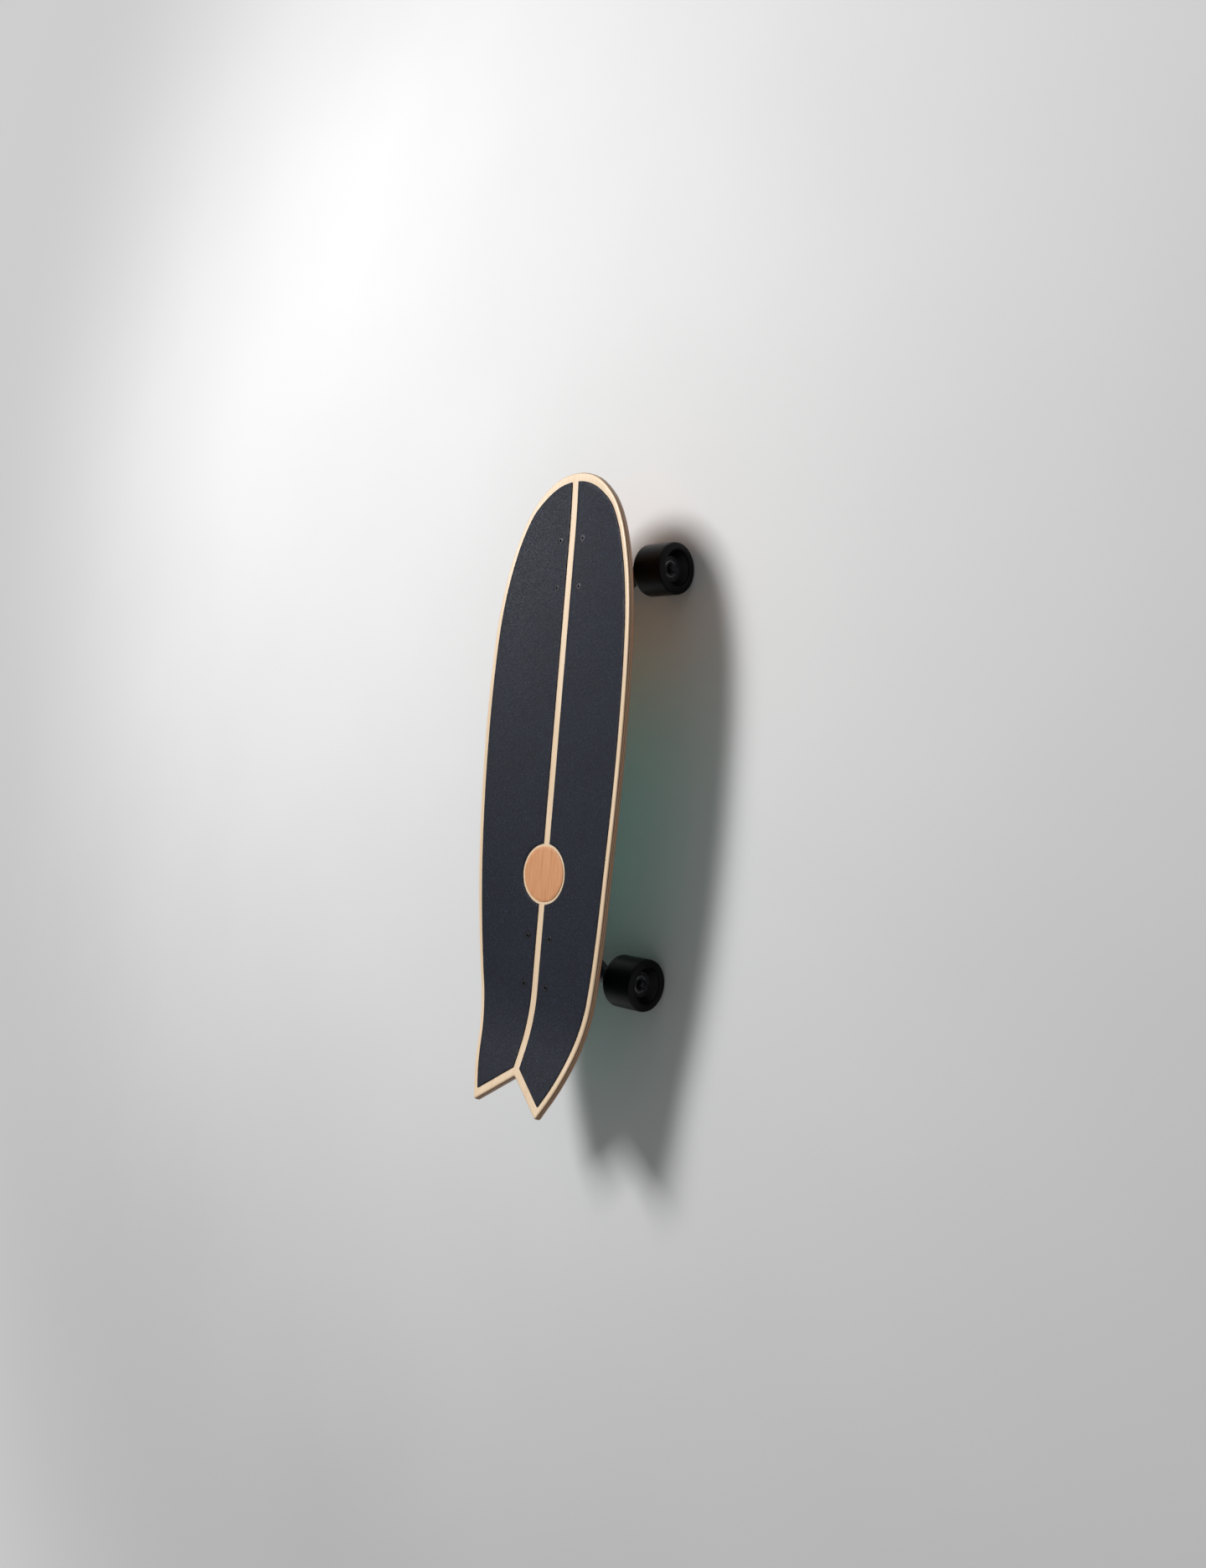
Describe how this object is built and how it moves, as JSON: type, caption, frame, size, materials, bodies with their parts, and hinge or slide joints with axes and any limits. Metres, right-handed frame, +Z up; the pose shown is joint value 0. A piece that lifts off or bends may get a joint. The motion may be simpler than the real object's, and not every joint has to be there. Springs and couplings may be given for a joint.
{
  "type": "surf skateboard",
  "caption": "Swallow-tailed skateboard with griptape panels, a sprung swing-arm front truck, a kingpin rear truck and wide soft wheels.",
  "frame": {"origin": "on the ground under the middle of the deck's length and width", "axes": "+X to the nose, +Y to the rider's left, +Z up"},
  "size_m": [0.8377, 0.262, 0.1614],
  "materials": {
    "maple_deck": "clear lacquered maple veneer",
    "griptape": "coarse abrasive grit",
    "stained_veneer": "matt stained veneer",
    "black_bolts": "black oxide",
    "black_rubber": "dull moulded rubber",
    "black_steel": "black oxide",
    "zinc_steel": "bright zinc plate",
    "red_urethane": "satin cast urethane",
    "black_truck_paint": "satin powder coat",
    "bearing_steel": "ground steel",
    "spring_steel": "oiled spring wire",
    "black_urethane": "satin cast urethane",
    "black_hub": "moulded plastic"
  },
  "bodies": {
    "board": {"deck": "maple_deck", "griptape_left": "griptape", "griptape_right": "griptape", "round_inlay": "stained_veneer", "front_deck_bolt_1": "black_bolts", "front_deck_bolt_2": "black_bolts", "front_deck_bolt_3": "black_bolts", "front_deck_bolt_4": "black_bolts", "rear_deck_bolt_1": "black_bolts", "rear_deck_bolt_2": "black_bolts", "rear_deck_bolt_3": "black_bolts", "rear_deck_bolt_4": "black_bolts", "front_riser": "black_rubber", "rear_riser": "black_rubber", "rear_kingpin": "black_steel", "rear_kingpin_nut": "zinc_steel", "rear_bushing_board_side": "red_urethane", "rear_bushing_road_side": "red_urethane", "rear_cup_washer_board_side": "zinc_steel", "rear_cup_washer_road_side": "zinc_steel", "rear_pivot_cup": "black_rubber", "front_base": "black_truck_paint", "rear_baseplate": "black_truck_paint", "swivel_thrust_bearing": "bearing_steel", "return_spring": "spring_steel"},
    "front_arm": {"swing_arm": "black_truck_paint", "swivel_pin": "black_steel", "swivel_nut": "zinc_steel", "front_kingpin": "black_steel", "front_kingpin_nut": "zinc_steel", "front_bushing_board_side": "red_urethane", "front_bushing_road_side": "red_urethane", "front_cup_washer_board_side": "zinc_steel", "front_cup_washer_road_side": "zinc_steel", "front_pivot_cup": "black_rubber"},
    "front_steering": {"front_hanger": "black_truck_paint", "front_axle": "black_steel", "front_left_axle_nut": "black_steel", "front_right_axle_nut": "black_steel"},
    "rear_steering": {"rear_hanger": "black_truck_paint", "rear_axle": "black_steel", "rear_left_axle_nut": "black_steel", "rear_right_axle_nut": "black_steel"},
    "front_left_wheel": {"front_left_tyre": "black_urethane", "front_left_wheel_core": "black_hub", "front_left_inner_bearing": "bearing_steel", "front_left_outer_bearing": "bearing_steel"},
    "front_right_wheel": {"front_right_tyre": "black_urethane", "front_right_wheel_core": "black_hub", "front_right_inner_bearing": "bearing_steel", "front_right_outer_bearing": "bearing_steel"},
    "rear_left_wheel": {"rear_left_tyre": "black_urethane", "rear_left_wheel_core": "black_hub", "rear_left_inner_bearing": "bearing_steel", "rear_left_outer_bearing": "bearing_steel"},
    "rear_right_wheel": {"rear_right_tyre": "black_urethane", "rear_right_wheel_core": "black_hub", "rear_right_inner_bearing": "bearing_steel", "rear_right_outer_bearing": "bearing_steel"}
  },
  "joints": [
    {"name": "front_swivel", "type": "hinge", "parent": "board", "child": "front_arm", "pos_m": [0.30684, 0, 0.09075], "axis": [0.1392, 0, 0.9903], "range_deg": [-35, 35], "stiffness_Nm_per_rad": 15, "deforming": ["return_spring"]},
    {"name": "front_steer", "type": "hinge", "parent": "front_arm", "child": "front_steering", "pos_m": [0.27784, 0, 0.0365], "axis": [0.788, 0, 0.6157], "range_deg": [-24, 24], "stiffness_Nm_per_rad": 40, "deforming": ["front_bushing_board_side", "front_bushing_road_side"]},
    {"name": "rear_steer", "type": "hinge", "parent": "board", "child": "rear_steering", "pos_m": [-0.22116, 0, 0.0365], "axis": [-0.788, 0, 0.6157], "range_deg": [-24, 24], "stiffness_Nm_per_rad": 40, "deforming": ["rear_bushing_board_side", "rear_bushing_road_side"]},
    {"name": "front_left_wheel_spin", "type": "hinge", "parent": "front_steering", "child": "front_left_wheel", "pos_m": [0.30184, 0.0855, 0.0345], "axis": [0, 1, 0], "continuous": true},
    {"name": "front_right_wheel_spin", "type": "hinge", "parent": "front_steering", "child": "front_right_wheel", "pos_m": [0.30184, -0.0855, 0.0345], "axis": [0, 1, 0], "continuous": true},
    {"name": "rear_left_wheel_spin", "type": "hinge", "parent": "rear_steering", "child": "rear_left_wheel", "pos_m": [-0.24516, 0.0925, 0.0345], "axis": [0, 1, 0], "continuous": true},
    {"name": "rear_right_wheel_spin", "type": "hinge", "parent": "rear_steering", "child": "rear_right_wheel", "pos_m": [-0.24516, -0.0925, 0.0345], "axis": [0, 1, 0], "continuous": true}
  ]
}
